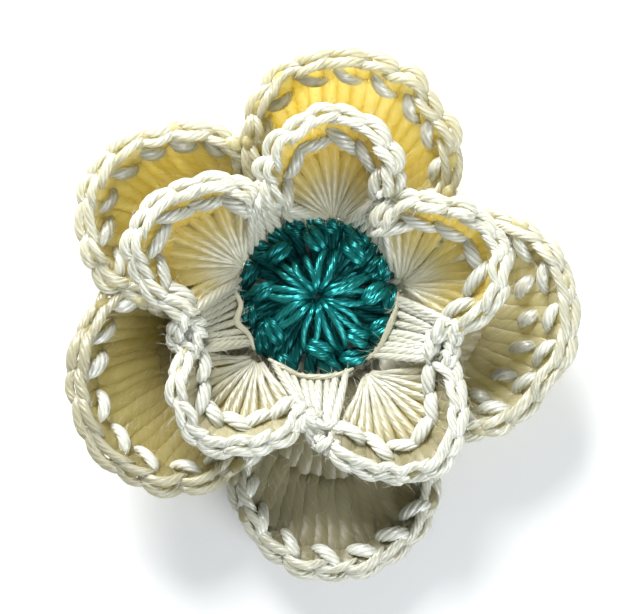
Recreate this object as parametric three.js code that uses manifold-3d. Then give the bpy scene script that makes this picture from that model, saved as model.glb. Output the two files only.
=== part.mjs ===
import * as THREE from "three";
import { mergeVertices } from "three/addons/utils/BufferGeometryUtils.js";
import Module from "manifold-3d";

// A crocheted plumeria flower that lies on its back, face up: a teal centre, a front round of five cupped
// petals and a larger back round of five petals beneath it. Millimetres, +Z up, +Y towards the top petal.
// The origin is the middle of the flat back of the back round.

// Driving dimensions
const FABRIC = 3.4; // thickness of the crocheted fabric, which is two strands of yarn
const GAP = 0.55; // clearance between one round and the next
const CENTRE_RADIUS = 14.5; // teal round, out to the edge that the cream yarn is worked into
const CENTRE_POSTS = 10; // double crochets that radiate from the middle of a round
const BASE_RADIUS = 15.5; // closed middle of the back round
const RING_INNER = 12.4; // the front round's first loops, which lie on the teal edge
const RING_OUTER = 16.6;
const LEDGE = 1.3; // how far the teal edge lies below the teal posts

// Each petal is a fan of posts round a root. Angles are in degrees, anticlockwise from +X, and the rest is
// in mm: rootAt and rootRadius place the root, facing is the way the middle post points, opens is how far
// the fan opens to each side of it, reach is the length from the root to the rim in plan, rise is the height
// that the rim gains over the root, and sides is the share of it that the petal's sides gain.
const FRONT_PETALS = [
  { rootAt: 78, rootRadius: 13.4, facing: 94, opens: 75, reach: 16.9, rise: 13.0, sides: 0.42 },
  { rootAt: 8, rootRadius: 14.6, facing: 29, opens: 85, reach: 16.9, rise: 12.0, sides: 0.42 },
  { rootAt: -57, rootRadius: 15.8, facing: -56, opens: 80, reach: 18.5, rise: 11.0, sides: 0.42 },
  { rootAt: 226, rootRadius: 15.0, facing: 243, opens: 90, reach: 15.8, rise: 11.0, sides: 0.42 },
  { rootAt: 158, rootRadius: 13.6, facing: 158, opens: 81, reach: 17.8, rise: 12.5, sides: 0.42 },
];
const BACK_PETALS = [
  { rootAt: 78, rootRadius: 8.5, facing: 76, opens: 61, reach: 32.5, rise: 17.0, sides: 0.3 },
  { rootAt: -9, rootRadius: 8.5, facing: -11, opens: 56, reach: 36.0, rise: 15.0, sides: 0.15 },
  { rootAt: 277, rootRadius: 8.5, facing: 275, opens: 45, reach: 40.6, rise: 9.0, sides: 0.2 },
  { rootAt: 210, rootRadius: 8.5, facing: 210, opens: 53, reach: 36.8, rise: 19.0, sides: 0.2 },
  { rootAt: 149, rootRadius: 8.5, facing: 150, opens: 50, reach: 34.0, rise: 17.0, sides: 0.3 },
];

// What the petals of one round share: where the posts start, how long the outermost posts are, how squarely
// the outline fills its fan, how far a petal runs out before it turns up (bend, as a share of its reach), how
// late it turns up (curl, the power of the way out that its height follows), how many posts it has, how far
// out the line of chain stitches lies (as a share of the way to the rim), and the height of the root.
const FRONT_ROUND = {
  start: 2.4,
  sideReach: 8.0,
  fullness: 1.75,
  bend: 0.6,
  curl: 2,
  posts: 7,
  chainAt: 0.62,
  rootHeight: 8.4,
};
const BACK_ROUND = {
  start: 5.5,
  sideReach: 12,
  fullness: 1.8,
  bend: 0.7,
  curl: 3,
  posts: 9,
  chainAt: 0.78,
  rootHeight: FABRIC / 2 + 0.22,
};

// Rows of a petal from root to rim: the long posts, a line of chain stitches, a short second row and the
// braided rim. at runs from 0 at the root to 1 at the chain line and 2 at the rim, thick is a share of
// FABRIC, and rib is how far the posts stand out there.
const RIB = 0.25; // how far a full rib stands out on each face
const PETAL_ROWS = [
  { at: 0, thick: 0.8, rib: 0.2 },
  { at: 0.3, thick: 0.95, rib: 0.8 },
  { at: 0.8, thick: 0.95, rib: 1 },
  { at: 0.92, thick: 0.85, rib: 0.4 },
  { at: 1, thick: 1.25, rib: 0.6 },
  { at: 1.2, thick: 0.85, rib: 0.4 },
  { at: 1.6, thick: 0.85, rib: 1 },
  { at: 1.85, thick: 1.3, rib: 0.9 },
  { at: 2, thick: 0.7, rib: 0.4 },
];
const SCALLOP = 0.45; // how far the rim bulges at each stitch
const HEM = 0.06; // height that a petal already has where its profile turns up, as a share of its rise
const FAN = 0.95; // share of its fan that a petal's posts fill, before the outline falls away to nothing

// Rows of the two discs, from the middle to the edge: radius, height of the top over the disc's underside,
// and how far the posts stand out there. The teal one is a round of posts in a drawn-up ring, with its
// chain edge lower.
const BACK_MIDDLE_ROWS = [
  { radius: 0, top: FABRIC * 0.8, rib: 0 },
  { radius: 4, top: FABRIC * 0.95, rib: 0.15 },
  { radius: BASE_RADIUS - 1.2, top: FABRIC * 0.95, rib: 0.15 },
  { radius: BASE_RADIUS, top: FABRIC * 0.6, rib: 0 },
];
const CENTRE_ROWS = [
  { radius: 0, top: FABRIC - 1.8, rib: 0 },
  { radius: 1.4, top: FABRIC - 0.9, rib: 0.2 },
  { radius: 3.6, top: FABRIC + 0.2, rib: 0.4 },
  { radius: 8, top: FABRIC, rib: 0.45 },
  { radius: 10.4, top: FABRIC - 0.3, rib: 0.3 },
  { radius: 11.4, top: FABRIC + 0.1, rib: 0.4 },
  { radius: 12.2, top: FABRIC - LEDGE, rib: 0.15 },
  { radius: CENTRE_RADIUS, top: FABRIC - LEDGE - 0.6, rib: 0.15 },
];
const RING_THICK = FABRIC * 0.8; // front round's first loops
const RING_ROUND = 0.9; // how far its corners are rounded off
const SLIVER = 0.02; // detail finer than this is left out where the petals join
const SLOPE_STEP = 0.01; // share of a petal over which its slope is taken

const CREAM = new THREE.MeshStandardMaterial({ color: 0xf0e9c9, roughness: 0.7, metalness: 0 });
const TEAL = new THREE.MeshStandardMaterial({ color: 0x1d8a84, roughness: 0.55, metalness: 0 });

const radians = THREE.MathUtils.degToRad;
const wasm = await Module();
wasm.setup();

// Full at the middle of a petal and 0 at its sides.
function bulge(across, fullness) {
  return Math.sqrt(Math.max(0, 1 - Math.abs(across) ** fullness));
}

// A point of a petal's middle surface. across runs from -1 to 1 over the fan, and out from 0 at the root
// to 1.
function petalPoint(round, petal, across, out, scallop = 0) {
  const full = bulge(across, round.fullness);
  const reach = round.sideReach + (petal.reach - round.sideReach) * full + scallop;
  const rise = petal.rise * (petal.sides + (1 - petal.sides) * full);
  const turn = 2 * out * (1 - out);
  const distance = round.start + (reach - round.start) * (turn * round.bend + out * out);
  const height = round.rootHeight + rise * (turn * HEM + Math.max(0, out) ** round.curl);
  const angle = radians(petal.facing + across * petal.opens);
  const rootAngle = radians(petal.rootAt);
  return new THREE.Vector3(
    petal.rootRadius * Math.cos(rootAngle) + distance * Math.cos(angle),
    petal.rootRadius * Math.sin(rootAngle) + distance * Math.sin(angle),
    height,
  );
}

// The way the face of the petal looks at a point.
function petalNormal(round, petal, across, out) {
  const at = (a, o) => petalPoint(round, petal, a, o);
  const along = at(across, out + SLOPE_STEP).sub(at(across, out - SLOPE_STEP));
  const side = at(across + SLOPE_STEP, out).sub(at(across - SLOPE_STEP, out));
  return along.cross(side).normalize();
}

function geometryFrom(points, triangles) {
  const flat = points.flatMap((p) => [p.x, p.y, p.z]);
  return new THREE.BufferGeometry()
    .setAttribute("position", new THREE.Float32BufferAttribute(flat, 3))
    .setIndex(triangles);
}

// One petal as a closed shell: its face, its back and the four walls between them. Posts stand out as ribs.
function petalGeometry(round, petal) {
  const columns = 2 * round.posts;
  const rows = PETAL_ROWS.length - 1;
  const points = [];
  const triangles = [];
  const face = (i, j) => 2 * (i * (rows + 1) + j);
  const back = (i, j) => face(i, j) + 1;
  for (let i = 0; i <= columns; i++) {
    const across = FAN * ((2 * i) / columns - 1);
    const ridge = i % 2 ? 1 : -1;
    for (const { at, thick, rib } of PETAL_ROWS) {
      const out = at < 1 ? at * round.chainAt : round.chainAt + (at - 1) * (1 - round.chainAt);
      const middle = petalPoint(round, petal, across, out, ridge * SCALLOP * out);
      const normal = petalNormal(round, petal, across, out);
      const half = (FABRIC * thick) / 2 + ridge * RIB * rib;
      points.push(middle.clone().addScaledVector(normal, half));
      points.push(middle.clone().addScaledVector(normal, -half));
    }
  }
  const quad = (a, b, c, d) => triangles.push(a, b, c, a, c, d);
  for (let i = 0; i < columns; i++) {
    for (let j = 0; j < rows; j++) {
      quad(face(i, j), face(i, j + 1), face(i + 1, j + 1), face(i + 1, j));
      quad(back(i, j), back(i + 1, j), back(i + 1, j + 1), back(i, j + 1));
    }
    quad(back(i, rows), back(i + 1, rows), face(i + 1, rows), face(i, rows));
    quad(back(i, 0), face(i, 0), face(i + 1, 0), back(i + 1, 0));
  }
  for (let j = 0; j < rows; j++) {
    quad(back(columns, j + 1), back(columns, j), face(columns, j), face(columns, j + 1));
    quad(back(0, j + 1), face(0, j + 1), face(0, j), back(0, j));
  }
  return geometryFrom(points, triangles);
}

// A flat-backed disc of posts that radiate from its middle, with its underside at the height bottom.
function discGeometry(bottom, rows, posts) {
  const columns = 4 * posts;
  const floor = rows.length - 1;
  const ring = (k, i) => 1 + k * columns + (i % columns);
  const points = [new THREE.Vector3(0, 0, bottom + rows[0].top)];
  const triangles = [];
  const addRing = (radius, heightAt) => {
    for (let i = 0; i < columns; i++) {
      const angle = (2 * Math.PI * (i + 0.5)) / columns;
      points.push(new THREE.Vector3(radius * Math.cos(angle), radius * Math.sin(angle), heightAt(i)));
    }
  };
  for (const { radius, top, rib } of rows.slice(1)) {
    addRing(radius, (i) => bottom + top + (i % 2 ? rib : -rib));
  }
  addRing(rows[floor].radius, () => bottom);
  for (let i = 0; i < columns; i++) {
    triangles.push(0, ring(0, i), ring(0, i + 1));
    for (let k = 0; k < floor; k++) {
      triangles.push(ring(k, i), ring(k + 1, i), ring(k + 1, i + 1));
      triangles.push(ring(k, i), ring(k + 1, i + 1), ring(k, i + 1));
    }
  }
  for (let i = 1; i < columns - 1; i++) triangles.push(ring(floor, 0), ring(floor, i + 1), ring(floor, i));
  return geometryFrom(points, triangles);
}

function solidOf(geometry) {
  const bare = geometry.clone();
  bare.deleteAttribute("normal");
  bare.deleteAttribute("uv");
  const merged = mergeVertices(bare);
  return new wasm.Manifold(
    new wasm.Mesh({
      numProp: 3,
      vertProperties: merged.attributes.position.array,
      triVerts: new Uint32Array(merged.index.array),
    }),
  );
}

function meshOf(name, solid, material) {
  const { numProp, vertProperties, triVerts } = solid.getMesh();
  const points = [];
  for (let i = 0; i < vertProperties.length; i += numProp) {
    points.push(new THREE.Vector3().fromArray(vertProperties, i));
  }
  const geometry = geometryFrom(points, [...triVerts]);
  geometry.computeVertexNormals();
  const mesh = new THREE.Mesh(geometry, material);
  mesh.name = name;
  return mesh;
}

// The petals of a round, joined to the middle that they grow from. A pocket that the joining seals is
// filled.
function joined(middle, round, petals) {
  return petals
    .map((petal) => solidOf(petalGeometry(round, petal)))
    .reduce((sum, petal) => sum.add(petal), solidOf(middle))
    .decompose()
    .filter((body) => body.volume() > 0)
    .reduce((sum, body) => sum.add(body))
    .simplify(SLIVER);
}

// Teal centre, which lies on the closed middle of the back round.
function tealCentre() {
  return discGeometry(FABRIC + GAP, CENTRE_ROWS, CENTRE_POSTS);
}

// Closed middle of the back round, as flat below as the table it lies on.
function backMiddle() {
  return discGeometry(0, BACK_MIDDLE_ROWS, CENTRE_POSTS);
}

// First loops of the front round, which lie on the teal edge and carry the five fans.
function frontRing() {
  const bottom = FABRIC + GAP + FABRIC - LEDGE + GAP;
  const top = bottom + RING_THICK;
  const middle = (bottom + top) / 2;
  const profile = [
    [RING_INNER + RING_ROUND, bottom],
    [RING_OUTER - RING_ROUND, bottom],
    [RING_OUTER, middle],
    [RING_OUTER - RING_ROUND, top],
    [RING_INNER + RING_ROUND, top],
    [RING_INNER, middle],
    [RING_INNER + RING_ROUND, bottom],
  ].map(([radius, height]) => new THREE.Vector2(radius, height));
  return new THREE.LatheGeometry(profile, 4 * CENTRE_POSTS).rotateX(Math.PI / 2);
}

const flower = new THREE.Group();
flower.add(
  meshOf("teal_centre_round", solidOf(tealCentre()), TEAL),
  meshOf("front_petal_round", joined(frontRing(), FRONT_ROUND, FRONT_PETALS), CREAM),
  meshOf("back_petal_round", joined(backMiddle(), BACK_ROUND, BACK_PETALS), CREAM),
);

export default flower;
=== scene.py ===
"""The looks of a crocheted plumeria flower. Every strand of yarn is a plied tube that follows its stitch.

Lengths are in millimetres until a mesh is made. +Z is out of the flower's face and +Y towards the top petal.
"""
import math

import bpy
import numpy as np
from mathutils import Matrix, Vector


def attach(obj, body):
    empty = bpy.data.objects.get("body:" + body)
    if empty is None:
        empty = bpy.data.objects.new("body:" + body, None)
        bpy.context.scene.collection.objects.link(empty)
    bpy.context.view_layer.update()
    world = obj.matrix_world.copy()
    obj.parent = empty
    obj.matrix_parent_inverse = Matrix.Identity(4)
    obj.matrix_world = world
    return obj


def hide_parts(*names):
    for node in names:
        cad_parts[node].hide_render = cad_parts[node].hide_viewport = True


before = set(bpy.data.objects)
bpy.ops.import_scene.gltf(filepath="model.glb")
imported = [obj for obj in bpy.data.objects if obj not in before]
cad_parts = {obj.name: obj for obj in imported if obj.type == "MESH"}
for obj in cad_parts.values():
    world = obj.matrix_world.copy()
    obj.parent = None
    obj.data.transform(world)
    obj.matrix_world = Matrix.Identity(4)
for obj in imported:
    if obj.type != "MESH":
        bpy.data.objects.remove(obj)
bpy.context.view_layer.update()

MM = 0.001
BODY = "root"
rng = np.random.default_rng(11)

# Driving dimensions, as in the solids: each petal's root, direction, width, length and rise. thin says how
# easily light comes through a petal, and how much painted warm glow its thin fabric gets. From 0 to 1,
# tan, fan, shade and painted_rim_shade say how much painted shade darkens the yarn in its posts, in
# the fan of posts at its root, in its free loops and at its rim. line or lines say where its free loops lie
# on the way out, and web how far out the fabric between it and the next petal goes and how much painted
# shade darkens it.
FRONT_PETALS = [
    dict(root_at=78, root_radius=13.4, facing=94, opens=75, reach=16.9, rise=13.0,
         sides=0.42, thin=1.0, tan=0.0, fan=0.45, shade=0.35, line=0.74, web=(21.0, 0.3)),
    dict(root_at=158, root_radius=13.6, facing=158, opens=81, reach=17.8, rise=12.5,
         sides=0.42, thin=1.0, tan=0.0, fan=0.15, shade=0.2, line=0.79, web=(25.0, 0.6)),
    dict(root_at=226, root_radius=15.0, facing=243, opens=90, reach=15.8, rise=11.0,
         sides=0.42, thin=0.45, tan=0.5, fan=0.4, shade=0, line=0.67, web=(24.5, 0.3)),
    dict(root_at=-57, root_radius=15.8, facing=-56, opens=80, reach=18.5, rise=11.0,
         sides=0.42, thin=0.45, tan=0.8, fan=0.3, shade=0, line=0.67, web=(24.0, 0.25)),
    dict(root_at=8, root_radius=14.6, facing=29, opens=85, reach=16.9, rise=12.0,
         sides=0.42, thin=1.0, tan=0.0, fan=0.05, shade=0.1, line=0.72, web=(21.5, 0.3)),
]
BACK_PETALS = [
    dict(root_at=78, root_radius=8.5, facing=76, opens=61, reach=32.5, rise=17.0,
         sides=0.3, thin=1.0, tan=0.0, painted_rim_shade=0.25, lines=(0.86,)),
    dict(root_at=149, root_radius=8.5, facing=150, opens=50, reach=34.0, rise=17.0,
         sides=0.3, thin=0.75, tan=0.0, painted_rim_shade=0.05, lines=(0.85,)),
    dict(root_at=210, root_radius=8.5, facing=210, opens=53, reach=36.8, rise=19.0,
         sides=0.2, thin=0.7, tan=1.0, painted_rim_shade=0.6, lines=(0.86,)),
    dict(root_at=277, root_radius=8.5, facing=275, opens=45, reach=40.6, rise=9.0,
         sides=0.2, thin=0.3, tan=0.85, painted_rim_shade=0.25, lines=(0.88,)),
    dict(root_at=-9, root_radius=8.5, facing=-11, opens=56, reach=36.0, rise=15.0,
         sides=0.15, thin=0.55, tan=0.22, painted_rim_shade=0.2, lines=(0.7, 0.86)),
]
# The form of the petals of a round: how far from its root a petal starts, how far out its sides go, how full
# its rim is, how it bends on its way out and curls up, and how high its root lies.
FRONT_ROUND = dict(start=2.4, side_reach=8.0, fullness=1.75, bend=0.6, curl=2, root_height=8.4)
BACK_ROUND = dict(start=5.5, side_reach=12, fullness=1.8, bend=0.7, curl=3, root_height=1.92)
HEM = 0.06  # how much of its rise a petal gains in a straight line, before it curls up
FAN = 0.95  # how far round the fan the stitches go
RIPPLE = 0.8  # how far a rim waves in and out, and up and down
POST_STEPS = 24  # points of a path up a petal
ROW_STEPS = 120  # points of a path across a petal

# Yarn
PLIES = 6
PLY_POINTS = 6  # points across a ply that shows
PLY_POINTS_HIDDEN = 3
GROOVE = 0.17  # depth of the groove between two plies, as a share of the strand's radius
LOOP_TWIST = 9.5  # length of yarn in which a ply goes once round, in a loose loop
POST_TWIST = 13.0  # the same in a post, which is drawn out
CURVE_STEPS = 12  # points between two control points, before they are spaced evenly
STEP = 0.6  # length of yarn between two rings of points
FEWEST_RINGS = 5
FLAT = 0.78  # thickness of a strand as a share of its width, where it lies on the fabric
TABLE = 0.02  # height under which no yarn goes
LEG = 0.85  # radius of a strand in the fan of a front petal
WIDE_LEG = 1.9  # the same in the back petals, where the strands lie flat against each other
LOOP = 1.0  # radius of a strand in a loose loop at a rim
THINNEST = 0.42  # radius of a strand where it is drawn tight
TEAL_LEG = 0.68  # radius of a strand in a post of the teal round
TEAL_LOOP = 0.8  # the same in the links of its edge
UNEVEN = 0.07  # how far the points that a strand is led through stray, in mm
UNEVEN_TONE = 0.09  # how much darker than meant a strand may be
FUZZ = 1.9  # loose fibres for each mm of a strand
HAIR = 0.032  # radius of such a fibre
HAIR_LENGTH = (0.8, 2.8)  # its shortest and longest
HAIR_RINGS = 5
HAIR_SIDES = 3
FIBRE_SHIFT = 40  # moves the pattern of fibres along a strand, by its tone, so that no two look the same

UV_GAP = 0.35  # between two unrolled strands, in mm
UV_SLACK = 1.04  # how much wider the rows of them are than the side of a square of their area


def unit(v):
    """The vectors in the last axis of v, each made 1 long."""
    return v / np.maximum(np.linalg.norm(v, axis=-1, keepdims=True), 1e-9)


# ---------------------------------------------------------------- fabric surfaces and the paths on them


def petal_point(form, petal, across, out):
    """The middle surface of a petal. across runs from -1 to 1 over the fan, out from 0 at the root to 1."""
    across, out = np.broadcast_arrays(np.asarray(across, float), np.asarray(out, float))
    full = np.sqrt(np.maximum(0, 1 - np.abs(across) ** form["fullness"]))
    reach = form["side_reach"] + (petal["reach"] - form["side_reach"]) * full
    rise = petal["rise"] * (petal["sides"] + (1 - petal["sides"]) * full)
    # Each rim waves in its own way, because the wave starts where the petal faces
    wave = math.radians(petal["facing"]) * 5 + across * petal["opens"] / 16
    reach = reach + RIPPLE * np.sin(wave)
    rise = rise + RIPPLE * np.sin(wave * 1.4 + 1)
    turn = 2 * out * (1 - out)
    distance = form["start"] + (reach - form["start"]) * (turn * form["bend"] + out**2)
    height = form["root_height"] + rise * (turn * HEM + np.maximum(out, 0) ** form["curl"])
    angle = np.radians(petal["facing"] + across * petal["opens"])
    root = math.radians(petal["root_at"])
    x = petal["root_radius"] * math.cos(root) + distance * np.cos(angle)
    y = petal["root_radius"] * math.sin(root) + distance * np.sin(angle)
    return np.stack([x, y, height], axis=-1)


def petal_normal(form, petal, across, out):
    """The way the face of the petal looks."""
    e = 0.01
    along = petal_point(form, petal, across, out + e) - petal_point(form, petal, across, out - e)
    side = petal_point(form, petal, across + e, out) - petal_point(form, petal, across - e, out)
    return unit(np.cross(along, side))


class Ribbon:
    """A path with an up direction, which strands are laid along, beside and above."""

    def __init__(self, points, ups):
        self.points = points
        lengths = np.linalg.norm(np.diff(points, axis=0), axis=1)
        self.s = np.concatenate([[0], np.cumsum(lengths)])
        self.length = self.s[-1]
        self.ahead = unit(np.gradient(points, self.s, axis=0))
        self.side = unit(np.cross(ups, self.ahead))
        self.up = unit(np.cross(self.ahead, self.side))

    def read(self, values, s):
        """values, which has a row for each point of the path, at lengths s along it."""
        return np.stack([np.interp(s, self.s, values[:, i]) for i in range(values.shape[1])], axis=-1)

    def at(self, s, side, up):
        """Points at lengths s along the path, moved to its side and up, and the up direction there."""
        s = np.asarray(s, float)
        inside = np.clip(s, 0, self.length)
        past = (s - inside)[:, None]
        place = self.read(self.points, inside) + past * unit(self.read(self.ahead, inside))
        side_way = unit(self.read(self.side, inside))
        up_way = unit(self.read(self.up, inside))
        return place + np.asarray(side)[:, None] * side_way + np.asarray(up)[:, None] * up_way, up_way


def post_ribbon(form, petal, across, start, end):
    """Up a petal from the root side to the rim side."""
    out = np.linspace(start, end, POST_STEPS)
    return Ribbon(petal_point(form, petal, across, out), petal_normal(form, petal, across, out))


def row_ribbon(form, petal, out, up_is_out, span=(-FAN, FAN)):
    """Across a petal at one distance from its root. up is the way to the rim, or the way the face looks."""
    across = np.linspace(*span, ROW_STEPS)
    points = petal_point(form, petal, across, out)
    if not up_is_out:
        return Ribbon(points, petal_normal(form, petal, across, out))
    outward = petal_point(form, petal, across, out + 0.02) - petal_point(form, petal, across, out - 0.02)
    return Ribbon(points, unit(outward))


# ---------------------------------------------------------------- yarn


def smooth_path(controls, step):
    """A Catmull-Rom curve in even steps through the rows of controls, which begin with a place."""
    padded = np.vstack([2 * controls[0] - controls[1], controls, 2 * controls[-1] - controls[-2]])
    fine = []
    t = np.linspace(0, 1, CURVE_STEPS, endpoint=False)[:, None]
    for a, b, c, d in zip(padded, padded[1:], padded[2:], padded[3:]):
        bend = 2 * a - 5 * b + 4 * c - d
        fine.append(0.5 * (2 * b + (c - a) * t + bend * t**2 + (3 * b - a - 3 * c + d) * t**3))
    fine = np.vstack(fine + [controls[-1:]])
    lengths = np.concatenate([[0], np.cumsum(np.linalg.norm(np.diff(fine[:, :3], axis=0), axis=1))])
    count = max(FEWEST_RINGS, int(round(lengths[-1] / step)) + 1)
    s = np.linspace(0, lengths[-1], count)
    return np.stack([np.interp(s, lengths, fine[:, i]) for i in range(fine.shape[1])], axis=-1), s


def carried_frames(points):
    """A tangent and a direction across it at each point, carried along without twist."""
    ahead = unit(np.gradient(points, axis=0))
    across = np.empty_like(ahead)
    guess = np.array([0.0, 0.0, 1.0]) if abs(ahead[0, 2]) < 0.9 else np.array([1.0, 0.0, 0.0])
    last = unit(np.cross(guess, ahead[0]))
    for i, way in enumerate(ahead):
        last = last - way * np.dot(last, way)
        last /= max(np.linalg.norm(last), 1e-9)
        across[i] = last
    return ahead, across


def ply_outline(points, smooth):
    """The share of a strand's radius at each point round it, and how far into a groove the point is."""
    across = (np.arange(PLIES * points) % points) / points * 2 - 1
    return 1 - GROOVE * (1 - smooth) * across**2, (1 - smooth) * across**4


def tube_faces(rings, points):
    """The sides of a tube, and triangles that close its ends at two vertices after those of its rings."""
    ring = np.arange(points)
    after = (ring + 1) % points
    rows = np.arange(rings - 1)[:, None] * points
    a, b = rows + ring, rows + after
    sides = np.stack([a, b, b + points, a + points], axis=-1).reshape(-1, 4)
    last_ring = (rings - 1) * points
    first, last = np.full(points, rings * points), np.full(points, rings * points + 1)
    start_cap = np.stack([first, after, ring], axis=-1)
    end_cap = np.stack([last, last_ring + ring, last_ring + after], axis=-1)
    return sides, np.vstack([start_cap, end_cap])


def tube_uv(u, v):
    """For each corner of those faces its place on the unrolled tube: u along it and v round it."""
    low_u, low_v = np.broadcast_arrays(u[:-1, None], v[None, :-1])
    high_u, high_v = np.broadcast_arrays(u[1:, None], v[None, 1:])
    corners = [(low_u, low_v), (low_u, high_v), (high_u, high_v), (high_u, low_v)]
    sides = np.stack([np.stack(corner, axis=-1) for corner in corners], axis=-2).reshape(-1, 2)
    caps = [np.tile((u[end], v[0]), (3 * (len(v) - 1), 1)) for end in (0, -1)]
    return sides, np.vstack(caps)


class Yarn:
    """Strands that become one mesh."""

    def __init__(self, name):
        self.name = name
        self.strands = []

    def lay(
        self,
        places,
        ups,
        radii,
        twist=LOOP_TWIST,
        flat=FLAT,
        deep=0.0,
        tan=0.0,
        smooth=0.0,
        points=PLY_POINTS,
    ):
        """deep says how thin the fabric is at each control point, from 0 to 1, which sets how much light
        goes through it and its painted warm glow; tan how much painted shade darkens the strand, smooth how
        little its plies show, and points how many points there are across a ply."""
        controls = np.column_stack([places, ups, radii, np.broadcast_to(deep, len(places))])
        path, s = smooth_path(controls, STEP)
        ahead, across = carried_frames(path[:, :3])
        second = np.cross(ahead, across)
        outline, groove = ply_outline(points, smooth)
        start = rng.uniform(0, 2 * math.pi)
        round_angle = np.arange(len(outline)) * 2 * math.pi / len(outline)
        angle = start + round_angle[None, :] - 2 * math.pi * s[:, None] / twist
        offset = np.cos(angle)[..., None] * across[:, None] + np.sin(angle)[..., None] * second[:, None]
        offset = offset * outline[None, :, None] * path[:, 6][:, None, None]
        up = unit(path[:, 3:6])[:, None]
        offset = offset - (1 - flat) * np.sum(offset * up, axis=-1, keepdims=True) * up
        grid = path[:, None, :3] + offset
        grid[..., 2] = np.maximum(grid[..., 2], TABLE)
        self.strands.append(
            dict(
                grid=grid,
                ends=grid[[0, -1]].mean(axis=1),
                s=s,
                round_angle=round_angle,
                groove=groove,
                # The strand's painted shade, plus a random tone of its own
                tone_and_painted_shade=tan + rng.uniform(0, UNEVEN_TONE),
                deep=path[:, 7],
                girth=2 * math.pi * float(path[:, 6].mean()),
            )
        )
        if points == PLY_POINTS:
            self.fray(grid, ahead, s[-1], path[:, 7])

    def fray(self, grid, ahead, length, deep):
        """Loose fibre ends that stand off a strand, here and there."""
        t = np.linspace(-0.05, 1, HAIR_RINGS)[:, None]
        angle = np.arange(HAIR_SIDES) * 2 * math.pi / HAIR_SIDES
        size = HAIR * np.linspace(1, 0.4, HAIR_RINGS)[:, None, None]
        for _ in range(rng.poisson(FUZZ * length)):
            ring = rng.integers(1, len(grid) - 1)
            root = grid[ring, rng.integers(grid.shape[1])]
            off = unit(root - grid[ring].mean(axis=0))
            along = rng.choice((-1, 1)) * ahead[ring]
            way = unit(along + rng.uniform(0.2, 0.9) * off + rng.normal(0, 0.35, 3))
            turn = unit(np.cross(way, rng.normal(0, 1, 3)))
            line = root + rng.uniform(*HAIR_LENGTH) * (t * way + rng.uniform(0.1, 0.45) * t * abs(t) * turn)
            line[:, 2] = np.maximum(line[:, 2], TABLE + HAIR)
            side = unit(np.cross(way, turn))
            rim = np.cos(angle)[:, None] * turn + np.sin(angle)[:, None] * side
            self.strands.append(
                dict(
                    grid=line[:, None] + size * rim,
                    ends=line[[0, -1]],
                    s=np.linalg.norm(line - line[0], axis=1),
                    round_angle=angle,
                    groove=np.zeros(HAIR_SIDES),
                    tone_and_painted_shade=0.0,
                    deep=np.full(HAIR_RINGS, deep[ring]),
                    girth=2 * math.pi * HAIR,
                )
            )

    def strand(self, ribbon, controls, **looks):
        """controls: rows of length along the ribbon, side, up and radius."""
        controls = np.array(controls, float)
        stray = rng.normal(0, UNEVEN, (len(controls), 3))
        places, ups = ribbon.at(*(controls[:, :3] + stray).T)
        radii = controls[:, 3] * rng.uniform(0.93, 1.06)
        self.lay(places, ups, radii, **looks)

    def uv_rows(self):
        """A place for each strand's unrolled surface, in rows that fill a square, and the square's side."""
        order = sorted(range(len(self.strands)), key=lambda i: -self.strands[i]["girth"])
        area = sum(strand["girth"] * strand["s"][-1] for strand in self.strands)
        width = math.sqrt(area) * UV_SLACK
        left = top = row = 0.0
        places = {}
        for i in order:
            long, high = self.strands[i]["s"][-1] + UV_GAP, self.strands[i]["girth"] + UV_GAP
            if left and left + long > width:
                left, top, row = 0.0, top + row, 0.0
            places[i] = (left, top)
            left += long
            row = max(row, high)
        longest = max(strand["s"][-1] for strand in self.strands)
        return places, max(width, top + row, longest + UV_GAP)

    def mesh(self):
        """The strands as one mesh, which carries what the materials ask of each point."""
        verts, quads, tris, quad_uv, tri_uv = [], [], [], [], []
        looks = dict(fibre=[], groove=[], tone_and_painted_shade=[], deep=[])
        places, span = self.uv_rows()
        base = 0
        for i, strand in enumerate(self.strands):
            rings, points = strand["grid"].shape[:2]
            sides, caps = tube_faces(rings, points)
            quads.append(base + sides)
            tris.append(base + caps)
            verts += [strand["grid"].reshape(-1, 3), strand["ends"]]
            base += rings * points + 2

            left, top = places[i]
            u = (left + strand["s"]) / span
            v = (top + np.arange(points + 1) / points * strand["girth"]) / span
            side_uv, cap_uv = tube_uv(u, v)
            quad_uv.append(side_uv)
            tri_uv.append(cap_uv)

            angle = np.broadcast_to(strand["round_angle"][None], (rings, points))
            length = np.broadcast_to(strand["s"][:, None], (rings, points)) + FIBRE_SHIFT * strand["tone_and_painted_shade"]
            radius = strand["girth"] / (2 * math.pi)
            threads = np.stack([radius * np.cos(angle), radius * np.sin(angle), length], axis=-1)
            looks["fibre"].append(np.vstack([threads.reshape(-1, 3), np.zeros((2, 3))]))
            looks["groove"].append(np.append(np.tile(strand["groove"], rings), [1, 1]))
            looks["tone_and_painted_shade"].append(np.full(rings * points + 2, strand["tone_and_painted_shade"]))
            looks["deep"].append(np.append(np.repeat(strand["deep"], points), strand["deep"][[0, -1]]))
        return solid_mesh(self.name, verts, quads, tris, quad_uv + tri_uv, looks)


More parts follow.
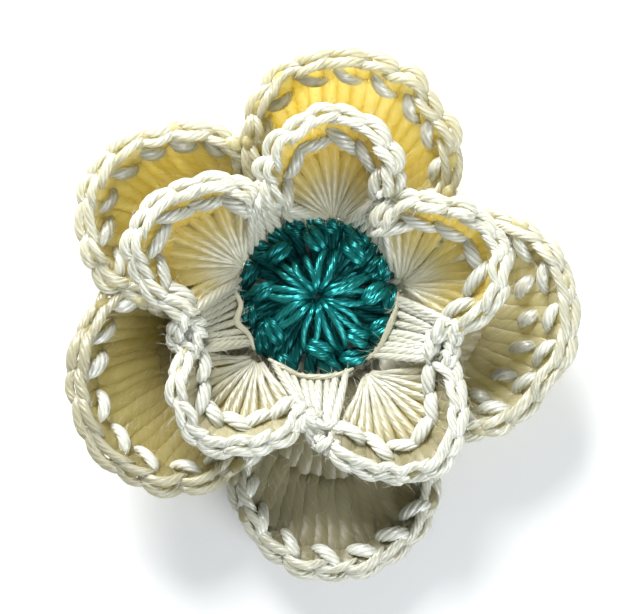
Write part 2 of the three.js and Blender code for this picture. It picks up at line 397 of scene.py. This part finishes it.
def solid_mesh(name, verts, quads, tris, uv, looks):
    """A smooth mesh in metres. looks holds for each attribute the values of its vertices."""
    verts, quads, tris = np.vstack(verts) * MM, np.vstack(quads), np.vstack(tris)
    mesh = bpy.data.meshes.new(name)
    mesh.vertices.add(len(verts))
    mesh.vertices.foreach_set("co", verts.astype(np.float32).ravel())
    loops = np.concatenate([quads.ravel(), tris.ravel()]).astype(np.int32)
    mesh.loops.add(len(loops))
    mesh.loops.foreach_set("vertex_index", loops)
    starts = np.concatenate([np.arange(len(quads)) * 4, len(quads) * 4 + np.arange(len(tris)) * 3])
    mesh.polygons.add(len(starts))
    mesh.polygons.foreach_set("loop_start", starts.astype(np.int32))
    mesh.polygons.foreach_set("use_smooth", np.ones(len(starts), bool))
    mesh.update(calc_edges=True)
    layer = mesh.uv_layers.new(name="OFBake")
    layer.data.foreach_set("uv", np.vstack(uv).astype(np.float32).ravel())
    for key, rows in looks.items():
        values = np.concatenate(rows).astype(np.float32)
        kind, field = ("FLOAT_VECTOR", "vector") if values.ndim > 1 else ("FLOAT", "value")
        mesh.attributes.new(key, kind, "POINT").data.foreach_set(field, values.ravel())
    mesh.validate()
    return mesh


def finish_piece(yarn, material, node):
    """The yarn as an object that stands for a node of the solids."""
    piece = bpy.data.objects.new(yarn.name, yarn.mesh())
    bpy.context.scene.collection.objects.link(piece)
    piece.data.materials.append(material)
    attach(piece, BODY)
    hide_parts(node)


# ---------------------------------------------------------------- stitches


def chain(yarn, ribbon, links, radius, width, lift=0.0, **looks):
    """A row of chain stitches seen from the top: two legs of each leave the link before, over its neck."""
    ends = np.linspace(0, ribbon.length, links + 1)
    ends[1:-1] += rng.normal(0, 0.1, links - 1) * ribbon.length / links
    for at, pitch in zip(ends, np.diff(ends)):
        sway, rise = rng.normal(0, 0.4, 2)
        for q in (-1, 1):
            fat = radius * rng.uniform(0.85, 1.12) * (1 if q < 0 else 0.9)
            yarn.strand(
                ribbon,
                [
                    (at - 0.12 * pitch, 0.10 * width * q, lift - 1.2 * fat, 0.45 * fat),
                    (at + 0.10 * pitch, 0.32 * width * q, lift - 0.05 * fat, 0.84 * fat),
                    (at + 0.40 * pitch, 0.72 * width * q + sway, lift + 0.50 * fat + rise, 1.0 * fat),
                    (at + 0.78 * pitch, 1.00 * width * q + sway, lift + 0.42 * fat + rise, 1.03 * fat),
                    (at + 1.12 * pitch, 0.98 * width * q, lift - 0.10 * fat, 0.92 * fat),
                    (at + 1.42 * pitch, 0.78 * width * q, lift - 1.3 * fat, 0.45 * fat),
                ],
                **looks,
            )


def loop_line(yarn, ribbon, links, radius, slant, lift, cover, **looks):
    """The loops that a later row leaves free on the face: slanting strands, as long as cover pitches."""
    pitch = ribbon.length / links
    for i in range(links):
        at = (i + 0.5 + rng.uniform(-0.1, 0.1)) * pitch
        half = 0.5 * cover * pitch
        lean = rng.uniform(*slant)
        fat = radius * rng.uniform(0.88, 1.12)
        yarn.strand(
            ribbon,
            [
                (at - 1.00 * half, 1.2 * lean, -0.8, 0.4 * fat),
                (at - 0.65 * half, 0.9 * lean, lift - 0.5, 0.85 * fat),
                (at - 0.10 * half, 0.1 * lean, lift + 0.4, 1.05 * fat),
                (at + 0.50 * half, -0.7 * lean, lift + 0.1, fat),
                (at + 1.00 * half, -1.2 * lean, -0.8, 0.4 * fat),
            ],
            **looks,
        )


def post(yarn, form, petal, across, apart, row, backed):
    """A crochet post: two legs on the face, and if it is backed two behind the gap to the next post."""
    start, end, legs = row["start"], row["end"], row["legs"]
    ribbon = post_ribbon(form, petal, across, start, end)
    shares = np.array([0.0, 0.12, 0.32, 0.55, 0.8, 1.0])
    out = start + (end - start) * shares
    here = petal_point(form, petal, across, out)
    beside = [petal_point(form, petal, across + q * apart, out) for q in (1, -1)]
    gap = np.minimum(*(np.linalg.norm(there - here, axis=1) for there in beside))
    first, last = legs["ends"]
    thick = np.clip(legs["share"] * gap, THINNEST, legs["radius"]) * np.array([first, 1, 1, 1, 1, last])
    s = shares * ribbon.length
    lean = rng.normal(0, legs["lean"])
    # How thin the fabric is, for the light through it and its painted warm glow: as the row says near the
    # root and further out, less at the petal's sides
    deep = np.interp(out, (0.1, 0.45), row["deep"]) * (1 - 0.7 * (across / FAN) ** 4)
    # The face legs carry the petal's painted shade
    face = dict(deep=deep, tan=petal["tan"], twist=POST_TWIST, flat=legs["flat"], smooth=legs["smooth"])
    for q in (1, -1):
        side = (q * legs["apart"] + rng.normal(0, 0.02)) * gap + lean * (shares - 0.5) * gap
        up = np.array(row["rise"]) + rng.normal(0, 0.08)
        yarn.strand(ribbon, np.column_stack([s, side, up, thick]), **face)
        if backed:
            side = 0.5 * gap + q * 0.18 * gap
            # The legs behind, down in the gaps, get the full painted warm glow and let most light through
            hidden = dict(face, deep=1.0, points=PLY_POINTS_HIDDEN)
            low = np.array(row["rise"]) - 1.1 * np.clip(gap, 0.4, 1.0)
            radii = np.clip(0.26 * gap, THINNEST, 1.2)
            yarn.strand(ribbon, np.column_stack([s, side, low, radii]), **hidden)


def petal_row(yarn, form, petal, count, row, backed=False, span=(-FAN, FAN)):
    """Posts beside each other. row says where they start and end on the way out, how their legs lie, how
    high they rise over the fabric at six places, and how thin it is near the root and further out, which
    also sets its painted warm glow there."""
    places = np.linspace(*span, count)
    apart = places[1] - places[0]
    for across in places:
        has_gap = across < places[-1]
        post(yarn, form, petal, across, apart, row, backed and has_gap)


def disc_posts(yarn, count, inner, outer, height, radius, sag, below=None, tan=0.0):
    """Double crochets worked into a drawn-up ring: pairs of strands that radiate from its hole."""
    for i in range(count):
        angle = 2 * math.pi * i / count + rng.normal(0, 0.05)
        way = np.array([math.cos(angle), math.sin(angle), 0.0])
        r = np.linspace(inner, outer, 16)
        points = r[:, None] * way + np.array([0, 0, height])
        ribbon = Ribbon(points, np.tile([0.0, 0.0, 1.0], (len(r), 1)))
        s = np.array([0.0, 0.08, 0.25, 0.55, 0.85, 1.0]) * ribbon.length
        gap = np.interp(s, ribbon.s, 2 * math.pi * r / count)
        thick = np.clip(0.28 * gap, THINNEST, radius)
        for q in (1, -1):
            up = np.array([-sag, -0.15, 0.35, 0.25, 0.0, -0.5])
            yarn.strand(ribbon, np.column_stack([s, q * 0.25 * gap, up, thick]), twist=POST_TWIST, tan=tan)
            if below is None:
                continue
            low = np.array([0, -0.1, -0.1, 0, 0, 0.3]) + below
            hidden = dict(twist=POST_TWIST, points=PLY_POINTS_HIDDEN)
            yarn.strand(ribbon, np.column_stack([s, (q * 0.25 + 0.25) * gap, low, thick * 1.05]), **hidden)


# ---------------------------------------------------------------- materials


# Sockets of a Mix node that is set to colours
MIX_LOW, MIX_HIGH, MIX_RESULT = 6, 7, 2
FIBRES = (3.2, 3.2, 0.3)  # how often the fibres change for each mm across a strand and along it
FIBRE_DEPTH = 0.12 * MM


def yarn_material(
    name, pale, tan, dark, through, share_through, roughness, ior, shine, sheen=0.0, thin=None
):
    """Yarn that is pale, mixed towards the tan colour as painted shade where a strand carries it, and
    towards dark in its grooves as painted shade and in the streaks of its fibres. A share of the light goes
    through it and takes the colour of through. thin gives that share where the fabric is thin, and there
    mixes the colour towards its own as a painted warm glow."""
    material = bpy.data.materials.new(name)
    material.use_nodes = True
    nodes, links = material.node_tree.nodes, material.node_tree.links
    nodes.clear()
    output = nodes.new("ShaderNodeOutputMaterial")
    shader = nodes.new("ShaderNodeBsdfPrincipled")
    light_through = nodes.new("ShaderNodeBsdfTranslucent")
    light_through.inputs["Color"].default_value = through
    blend = nodes.new("ShaderNodeMixShader")
    links.new(shader.outputs["BSDF"], blend.inputs[1])
    links.new(light_through.outputs["BSDF"], blend.inputs[2])
    links.new(blend.outputs["Shader"], output.inputs["Surface"])
    shader.inputs["Roughness"].default_value = roughness
    shader.inputs["Sheen Weight"].default_value = sheen
    shader.inputs["Sheen Roughness"].default_value = 0.4
    shader.inputs["IOR"].default_value = ior
    shader.inputs["Specular Tint"].default_value = shine

    def attribute(key):
        node = nodes.new("ShaderNodeAttribute")
        node.attribute_name = key
        return node

    # Noise that is drawn out along the strand, for its fibres
    fibre = attribute("fibre")
    stretch = nodes.new("ShaderNodeVectorMath")
    stretch.operation = "MULTIPLY"
    stretch.inputs[1].default_value = FIBRES
    links.new(fibre.outputs["Vector"], stretch.inputs[0])
    threads = nodes.new("ShaderNodeTexNoise")
    threads.inputs["Scale"].default_value = 1.0
    threads.inputs["Detail"].default_value = 3.0
    threads.inputs["Roughness"].default_value = 0.6
    links.new(stretch.outputs["Vector"], threads.inputs["Vector"])

    def mixed(factor, low, high):
        node = nodes.new("ShaderNodeMix")
        node.data_type = "RGBA"
        links.new(factor, node.inputs["Factor"])
        for value, place in ((low, MIX_LOW), (high, MIX_HIGH)):
            if isinstance(value, tuple):
                node.inputs[place].default_value = value
            else:
                links.new(value, node.inputs[place])
        return node.outputs[MIX_RESULT]

    def ranged(value, low, high, to_low, to_high):
        node = nodes.new("ShaderNodeMapRange")
        node.clamp = True
        links.new(value, node.inputs["Value"])
        for key, number in (("From Min", low), ("From Max", high), ("To Min", to_low), ("To Max", to_high)):
            node.inputs[key].default_value = number
        return node.outputs["Result"]

    body = pale
    blend.inputs["Fac"].default_value = share_through
    # Where the fabric is thin, more light goes through it, and its colour is mixed towards a painted warm
    # glow
    if thin:
        deep = attribute("deep").outputs["Fac"]
        body = mixed(deep, pale, thin["colour"])
        links.new(ranged(deep, 0, 1, share_through, thin["share_through"]), blend.inputs["Fac"])
    # Painted shade and a darker random tone both make a strand shine less, which paints shade into its shine
    # too
    tone_and_painted_shade = attribute("tone_and_painted_shade").outputs["Fac"]
    links.new(ranged(tone_and_painted_shade, 0, 1, 1.0, 0.3), shader.inputs["Specular IOR Level"])
    # Painted shade, with the strand's random tone, mixes the colour towards the colour of painted shade
    toned = mixed(tone_and_painted_shade, body, tan)
    # Painted shade darkens the grooves between the plies
    grooved = mixed(ranged(attribute("groove").outputs["Fac"], 0.1, 0.9, 0, 0.65), toned, dark)
    threaded = mixed(ranged(threads.outputs["Fac"], 0.35, 0.6, 0.55, 0.0), grooved, dark)
    links.new(threaded, shader.inputs["Base Color"])

    bump = nodes.new("ShaderNodeBump")
    bump.inputs["Strength"].default_value = 0.7
    bump.inputs["Distance"].default_value = FIBRE_DEPTH
    links.new(threads.outputs["Fac"], bump.inputs["Height"])
    links.new(bump.outputs["Normal"], shader.inputs["Normal"])
    return material


CREAM = yarn_material(
    "cream_yarn_looks",
    pale=(0.86, 0.89, 0.84, 1),
    # Colour of painted shade on darkened strands
    tan=(0.20, 0.17, 0.08, 1),
    # Colour of painted shade in the grooves, and of the fibre streaks
    dark=(0.40, 0.39, 0.26, 1),
    through=(1.0, 0.93, 0.55, 1),
    share_through=0.12,
    roughness=0.33,
    ior=1.75,
    shine=(1, 1, 1, 1),
    sheen=0.2,
    # The painted warm glow of thin fabric, and the share of light through it there
    thin=dict(colour=(0.93, 0.83, 0.40, 1), share_through=0.8),
)
TEAL = yarn_material(
    "teal_yarn_looks",
    pale=(0.004, 0.12, 0.122, 1),
    # Colour of painted shade on darkened strands
    tan=(0.004, 0.06, 0.058, 1),
    # Colour of painted shade in the grooves, and of the fibre streaks
    dark=(0.001, 0.015, 0.015, 1),
    through=(0.05, 0.6, 0.55, 1),
    share_through=0.05,
    roughness=0.3,
    ior=2.0,
    shine=(0.12, 1.0, 1.0, 1),
)


# ---------------------------------------------------------------- the flower


# How the two legs of a post lie. share and apart are the radius of each and half the way between them, as
# shares of the room for the post, and ends the thickness of its ends as shares of its middle.
FAN_LEGS = dict(apart=0.21, radius=LEG, flat=0.9, lean=0.12, ends=(1, 0.7))
SMOOTH_LEGS = dict(share=0.46, apart=0.25, radius=WIDE_LEG, flat=0.5, lean=0.05, smooth=0.7, ends=(0.5, 0.5))
# How free loops lie in a back petal: slanting near its rim, and nearly along the posts further in
RIM_LOOPS = dict(slant=(0.9, 1.9), cover=0.85)
INNER_LOOPS = dict(slant=(1.5, 2.1), cover=0.45)
RIM = 0.95  # where on the way out the chain of a rim lies

# The fabric between two front petals, and the strand along the teal edge
WEB_POSTS = 9  # strands in it
WEB_RADIUS = 13.8  # how far out it starts
WEB_HEIGHT = 6.6  # its height there
SHORT_WEB = 22  # where it goes further out than this, the rims of its petals merge early
MERGED_END = 0.78  # how far round a petal its own rim goes then
SHORT_CREST = 11.5  # height of its outer edge where it is short
LONG_CREST = 14.0  # the same where it is long
INNER_CHAIN = 20.4  # how far out the inner one of its two chains lies
EDGE_RADIUS = 14.0  # how far out the strand lies
EDGE_HEIGHT = 8.0  # height of the strand in its middle
EDGE_DROP = 5.6  # how fast it falls away from there


def rim_end(petal):
    """How far round a front petal its own rim goes, at the side of the next petal."""
    return MERGED_END if petal["web"][0] > SHORT_WEB else FAN


def front_petal(number, petal):
    """A fan of posts from the root, a row of flat posts outside it, free loops between them, and the rim."""
    yarn = Yarn(f"front_petal_{number}")
    form = FRONT_ROUND
    thin = petal["thin"]
    span = (-rim_end(FRONT_PETALS[number - 2]), rim_end(petal))
    inside = 0.88 * np.array(span)
    legs = dict(FAN_LEGS, share=0.25 + 0.05 * thin, smooth=0.6 * thin)
    rise = (-1.8, -0.5, 0.5, 0.6, 0.2, -0.9)
    row = dict(start=-0.1, end=0.68, legs=legs, rise=rise, deep=(0.25 * thin, thin))
    # The fan of posts at the root takes its own painted shade
    fan = dict(petal, tan=petal["fan"])
    petal_row(yarn, form, fan, count=7, row=row, backed=thin < 0.7, span=inside)
    rise = (-0.4, -0.2, 0, 0, 0, -0.4)
    row = dict(start=0.56, end=0.94, legs=SMOOTH_LEGS, rise=rise, deep=(thin, thin))
    petal_row(yarn, form, petal, count=10, row=row, span=inside)
    line = row_ribbon(form, petal, petal["line"], up_is_out=False, span=span)
    # The free loops take the petal's painted shade
    loop_line(yarn, line, links=6, radius=1.2, slant=(-0.6, 1.9), lift=1.3, cover=1.35, tan=petal["shade"])
    rim = row_ribbon(form, petal, RIM, up_is_out=True, span=span)
    chain(yarn, rim, links=9, radius=LOOP, width=1.15, deep=0.1 * thin)
    finish_piece(yarn, CREAM, "front_petal_round")


def back_petal(number, petal):
    """Two rows of flat posts, and as a piece of its own a short third row with free loops and the rim."""
    form = BACK_ROUND
    thin = petal["thin"]
    row = dict(legs=SMOOTH_LEGS, rise=(-0.9, -0.1, 0, 0, 0, -0.9), deep=(thin, thin))
    first_row = dict(row, start=0.0, end=0.46, deep=(0.6 * thin, thin))
    yarn = Yarn(f"back_petal_{number}_posts")
    petal_row(yarn, form, petal, count=9, row=first_row, backed=True)
    petal_row(yarn, form, petal, count=12, row=dict(row, start=0.42, end=0.88))
    finish_piece(yarn, CREAM, "back_petal_round")
    yarn = Yarn(f"back_petal_{number}_edge")
    petal_row(yarn, form, petal, count=12, row=dict(row, start=0.84, end=0.94))
    for out in petal["lines"]:
        loops = INNER_LOOPS if out < 0.8 else RIM_LOOPS
        line = row_ribbon(form, petal, out, up_is_out=False)
        loop_line(yarn, line, links=10, radius=1.15, lift=1.4, smooth=0.4 * thin, **loops)
    rim = row_ribbon(form, petal, RIM, up_is_out=True)
    # The rim takes the petal's painted shade
    chain(yarn, rim, links=12, radius=LOOP, width=1.15, deep=0.3 * thin, tan=petal["painted_rim_shade"])
    finish_piece(yarn, CREAM, "back_petal_round")


# Directions in degrees and lengths of the teal posts, and how far their inner ends bulge up
TEAL_POSTS = [
    (112, 8.0, 0.0),
    (72, 8.6, 0.1),
    (24, 9.4, 0.2),
    (0, 9.3, 0.0),
    (-37, 9.6, 0.2),
    (-63, 9.8, 0.1),
    (-97, 9.4, 0.5),
    (-146, 10.0, 0.9),
    (171, 9.4, 0.3),
    (146, 8.6, 0.0),
]
CROWN = 7.6  # height of the teal round at its middle
DOME = 0.02  # how fast it falls away from there, in mm per square mm
# Painted shade on the edge of the teal round is darkest on this side
TEAL_SHADE = math.radians(165)  # the side where its edge is darkest


def crown(radius):
    """The height of the teal round at a distance from its middle."""
    return CROWN - DOME * radius**2


def teal_post(yarn, angle, length, bulge):
    """Two strands side by side that lead out from near the middle."""
    way = math.radians(angle + rng.normal(0, 2))
    ahead = np.array([math.cos(way), math.sin(way), 0.0])
    r = np.linspace(0.9 + bulge, length * rng.uniform(0.9, 1.1), 12)
    points = r[:, None] * ahead + crown(r)[:, None] * np.array([0.0, 0.0, 1.0])
    ribbon = Ribbon(points, np.tile([0.0, 0.0, 1.0], (len(r), 1)))
    s = np.array([0.0, 0.10, 0.26, 0.55, 0.85, 1.0]) * ribbon.length
    side = np.interp(s + r[0], [1, 3, 6, 10], [0.3, 0.62, 0.85, 0.55])
    thick = np.interp(s + r[0], [1, 3, 6, 9], [0.6, 0.85, 1.0, 0.7]) * TEAL_LEG
    for q in (1, -1):
        up = np.array([-2.2, 0.1 + bulge, 0.6 + bulge, 0.5, 0.0, -1.4]) + rng.normal(0, 0.25)
        bow = rng.normal(0, 0.4) * np.array([0, 0, 0.5, 1, 0.6, 0])
        yarn.strand(ribbon, np.column_stack([s, q * side + bow, up, thick * rng.uniform(0.85, 1.1)]))


def teal_links(yarn, count, radius, length, fat, shade):
    """Links of the round's edge, which all slant the same way and end beside or over the next."""
    for i in range(count):
        angle = 2 * math.pi * (i + rng.uniform(-0.15, 0.15)) / count
        outward = np.array([math.cos(angle), math.sin(angle), 0.0])
        along = angle + math.pi / 2 - math.radians(rng.uniform(0, 65))
        ahead = np.array([math.cos(along), math.sin(along), 0.0])
        middle = rng.uniform(-0.6, 0.6) + radius
        s = np.linspace(-0.5, 0.5, 7)[:, None] * length * rng.uniform(0.85, 1.2)
        points = middle * outward + s * ahead
        reach = np.linalg.norm(points, axis=1)
        points[:, 2] = crown(reach)
        ribbon = Ribbon(points, np.tile([0.0, 0.0, 1.0], (len(s), 1)))
        shares = np.array([0.0, 0.15, 0.4, 0.7, 1.0]) * ribbon.length
        size = fat * rng.uniform(0.85, 1.15)
        # Painted shade on the link, most on the side of TEAL_SHADE
        tan = shade * (1 + math.cos(angle - TEAL_SHADE)) / 2
        for q in (1, -1):
            side = q * np.array([0.25, 0.6, 0.9, 0.85, 0.4]) * size
            up = np.array([-1.2, 0.3, 0.8, 0.6, -1.2]) + rng.normal(0, 0.15)
            thick = np.array([0.55, 0.85, 1.0, 0.95, 0.6]) * size
            yarn.strand(ribbon, np.column_stack([shares, side, up, thick]), twist=LOOP_TWIST, tan=tan)


def teal_centre():
    """The drawn-up teal round: its posts, a lower round of them, and two rings of links."""
    yarn = Yarn("teal_centre")
    for angle, length, bulge in TEAL_POSTS:
        teal_post(yarn, angle, length, bulge)
    below = crown(11) - 1.5
    # The lower round, under the links, is darkened with painted shade
    disc_posts(yarn, count=16, inner=1.3, outer=13.6, height=below, radius=1.2, sag=1.0, tan=0.9)
    teal_links(yarn, count=8, radius=9.6, length=4.8, fat=TEAL_LOOP, shade=0.5)
    teal_links(yarn, count=13, radius=12.9, length=5.0, fat=TEAL_LOOP, shade=1.2)
    finish_piece(yarn, TEAL, "teal_centre_round")


def back_middle():
    """The middle of the back layer, which hardly shows."""
    yarn = Yarn("back_middle")
    disc_posts(yarn, count=14, inner=1.6, outer=15.0, height=2.2, radius=LEG, sag=0.6, below=-0.9)
    finish_piece(yarn, CREAM, "back_petal_round")


def joining_path(petal, after, out, radius, height):
    """From one petal to the next at the same distance from their roots, through a point between them."""
    start = petal_point(FRONT_ROUND, petal, rim_end(petal), out)
    finish = petal_point(FRONT_ROUND, after, -rim_end(petal), out)
    outward = unit((start + finish) * (1, 1, 0))
    path = np.array([start, radius * outward + np.array([0, 0, height]), finish])
    ups = np.tile(unit(outward + np.array([0, 0, 1])), (3, 1))
    fine, _ = smooth_path(np.column_stack([path, ups]), STEP)
    return Ribbon(fine[:, :3], fine[:, 3:6])


def between_petals(yarn, petal, after):
    """A strand along the teal edge, posts outside it, and the chains that run on from petal to petal."""
    first = math.radians(petal["root_at"])
    turn = math.radians((after["root_at"] - petal["root_at"]) % 360)
    up = np.array([0.0, 0.0, 1.0])
    # shade is how much painted shade darkens the web posts
    reach, shade = petal["web"]
    crest = SHORT_CREST if reach < SHORT_WEB else LONG_CREST

    def place(share, radius, height):
        angle = first + turn * share
        return np.array([radius * math.cos(angle), radius * math.sin(angle), height])

    if reach > SHORT_WEB:
        shares = np.linspace(0.08, 0.92, 6)
        heights = EDGE_HEIGHT - EDGE_DROP * (shares - 0.5) ** 2
        edge = [place(t, EDGE_RADIUS + rng.normal(0, 0.3), z) for t, z in zip(shares, heights)]
        size = rng.uniform(0.4, 0.6, 6) * np.array([0.5, 0.9, 1, 1, 0.9, 0.5])
        # The strand along the teal edge is darkened with painted shade
        yarn.lay(np.array(edge), np.tile(up, (6, 1)), size, twist=POST_TWIST, deep=0.2, tan=0.4)
    rim = joining_path(petal, after, RIM, reach, crest)
    out = np.array([0.0, 0.2, 0.5, 0.8, 1.0])[:, None]
    for share in np.linspace(0.08, 0.92, WEB_POSTS):
        inner = place(0.06 + 0.88 * share + rng.normal(0, 0.015), WEB_RADIUS, WEB_HEIGHT)
        outer = rim.read(rim.points, share * rim.length + rng.normal(0, 0.4)) - 0.8 * up
        path = inner + (outer - inner) * out + np.array([0.0, 0.8, 1.3, 0.7, 0.0])[:, None] * up
        size = np.array([0.5, 0.75, 0.85, 0.8, 0.55]) * rng.uniform(0.75, 1.15)
        yarn.lay(path, np.tile(up, (5, 1)), size, tan=shade)
    chain(yarn, rim, links=4, radius=LOOP, width=1.0)
    line = joining_path(petal, after, petal["line"], INNER_CHAIN, crest)
    chain(yarn, line, links=4, radius=LOOP, width=1.0, lift=0.9)


def front_ring():
    """The fabric that joins the front petals."""
    yarn = Yarn("front_ring")
    for i, petal in enumerate(FRONT_PETALS):
        between_petals(yarn, petal, FRONT_PETALS[(i + 1) % len(FRONT_PETALS)])
    finish_piece(yarn, CREAM, "front_petal_round")


for number, petal in enumerate(FRONT_PETALS, 1):
    front_petal(number, petal)
for number, petal in enumerate(BACK_PETALS, 1):
    back_petal(number, petal)
teal_centre()
back_middle()
front_ring()


# ---------------------------------------------------------------- studio


FLOOR = 1.5  # half its side, in metres
AIM = (0, 0, 0.01)  # what the lights point at
CAMERA_PLACE = (0.0005, -0.0019, 0.312)
LENS = 99


def floor():
    """A plain pale floor that the flower lies on."""
    corners = [(x * FLOOR, y * FLOOR, 0) for x, y in ((-1, -1), (1, -1), (1, 1), (-1, 1))]
    mesh = bpy.data.meshes.new("floor")
    mesh.from_pydata(corners, [], [(0, 1, 2, 3)])
    material = bpy.data.materials.new("pale_floor")
    material.use_nodes = True
    shader = material.node_tree.nodes["Principled BSDF"]
    shader.inputs["Base Color"].default_value = (0.9, 0.9, 0.9, 1)
    shader.inputs["Roughness"].default_value = 0.8
    mesh.materials.append(material)
    plane = bpy.data.objects.new("floor", mesh)
    bpy.context.scene.collection.objects.link(plane)


def area_light(name, place, size, energy, colour):
    """A round soft light that points at the flower."""
    data = bpy.data.lights.new(name, "AREA")
    data.shape = "DISK"
    data.size = size
    data.energy = energy
    data.color = colour
    light = bpy.data.objects.new(name, data)
    light.location = place
    light.rotation_euler = (Vector(AIM) - Vector(place)).to_track_quat("-Z", "Y").to_euler()
    bpy.context.scene.collection.objects.link(light)


def camera():
    """Straight above the flower, as the photograph was taken."""
    data = bpy.data.cameras.new("camera")
    data.lens = LENS
    data.sensor_width = 36
    data.clip_start = 0.01
    cam = bpy.data.objects.new("camera", data)
    cam.matrix_world = Matrix.Translation(CAMERA_PLACE)
    bpy.context.scene.collection.objects.link(cam)
    bpy.context.scene.camera = cam


def surroundings():
    """A faint bluish light from all sides."""
    world = bpy.data.worlds.new("studio")
    world.use_nodes = True
    background = world.node_tree.nodes["Background"]
    background.inputs["Color"].default_value = (0.9, 0.95, 1.0, 1)
    background.inputs["Strength"].default_value = 0.22
    bpy.context.scene.world = world


floor()
area_light("key", (-0.133, 0.408, 0.258), size=0.30, energy=6.1, colour=(1.0, 0.99, 0.97))
area_light("fill", (0.22, -0.32, 0.32), size=0.4, energy=2.35, colour=(0.95, 0.98, 1.0))
camera()
surroundings()
bpy.context.scene.view_settings.view_transform = "Standard"
